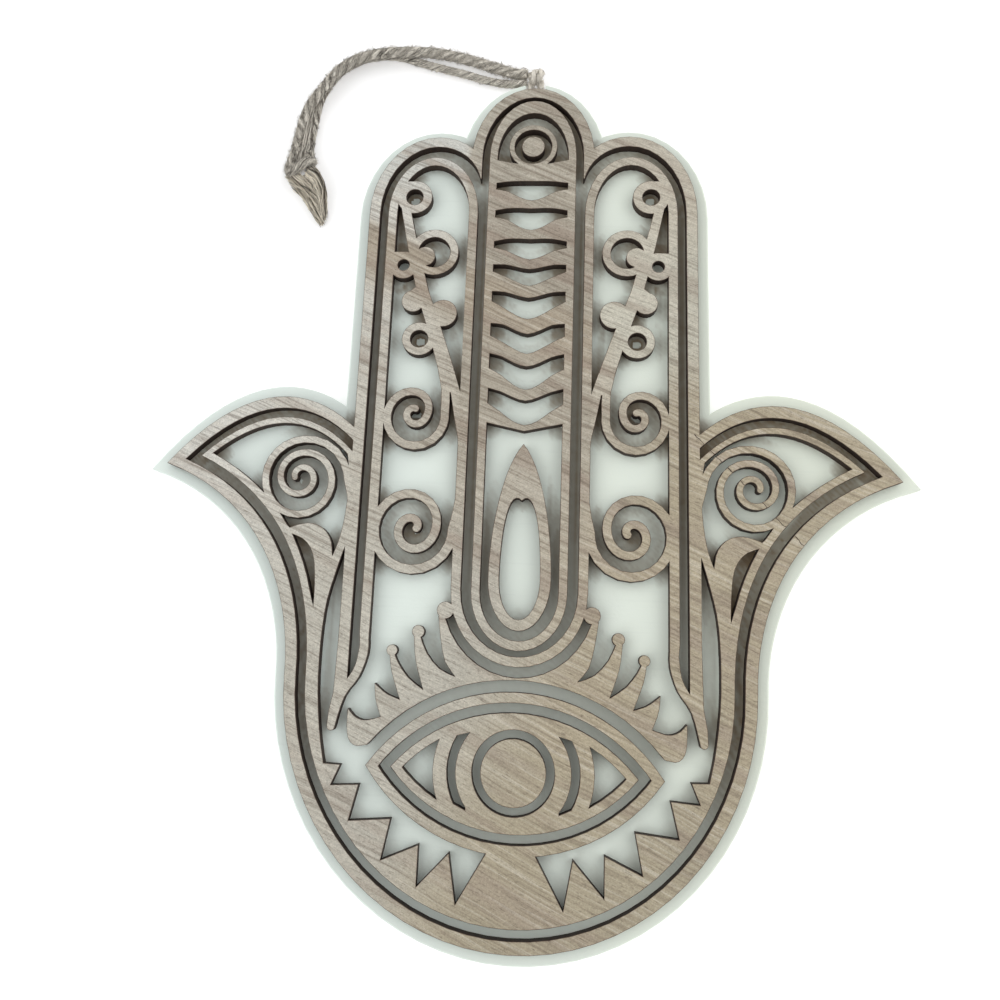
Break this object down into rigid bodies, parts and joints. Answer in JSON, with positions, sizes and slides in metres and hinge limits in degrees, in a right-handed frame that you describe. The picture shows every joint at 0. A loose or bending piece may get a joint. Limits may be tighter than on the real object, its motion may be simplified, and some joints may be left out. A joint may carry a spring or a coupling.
{
  "type": "hand-shaped wall ornament",
  "caption": "Flat wall ornament in the shape of an open hand: a painted board with glued, laser-cut wooden fretwork, an eye in the palm and a twine loop to hang it by.",
  "frame": {"origin": "middle of the board's outline on its back face", "axes": "+Z out of the decorated face, +Y towards the fingertips, +X to the right seen from the front"},
  "size_m": [0.2144, 0.2616, 0.006],
  "materials": {
    "paint": "matt off-white paint on a wooden board",
    "wood": "bare pale wood with fine grain, cut edges burnt dark",
    "twine": "twisted jute twine, grey-brown, fuzzy"
  },
  "bodies": {
    "hand": {"backing_board": "paint", "fretwork": "wood", "middle_panel": "wood", "top_disc": "wood", "drop_ring": "wood", "eye_plate": "wood", "iris_disc": "wood", "twine_hitch": "twine"},
    "twine_loop": {"twine_strand_out": "twine", "twine_strand_in": "twine", "twine_knot": "twine", "twine_tail_out": "twine", "twine_tail_in": "twine"}
  },
  "joints": [
    {"name": "twine_swing", "type": "hinge", "parent": "hand", "child": "twine_loop", "pos_m": [0, 0.12681, 0.0014], "axis": [0, 0, 1], "range_deg": [-150, 5]}
  ]
}
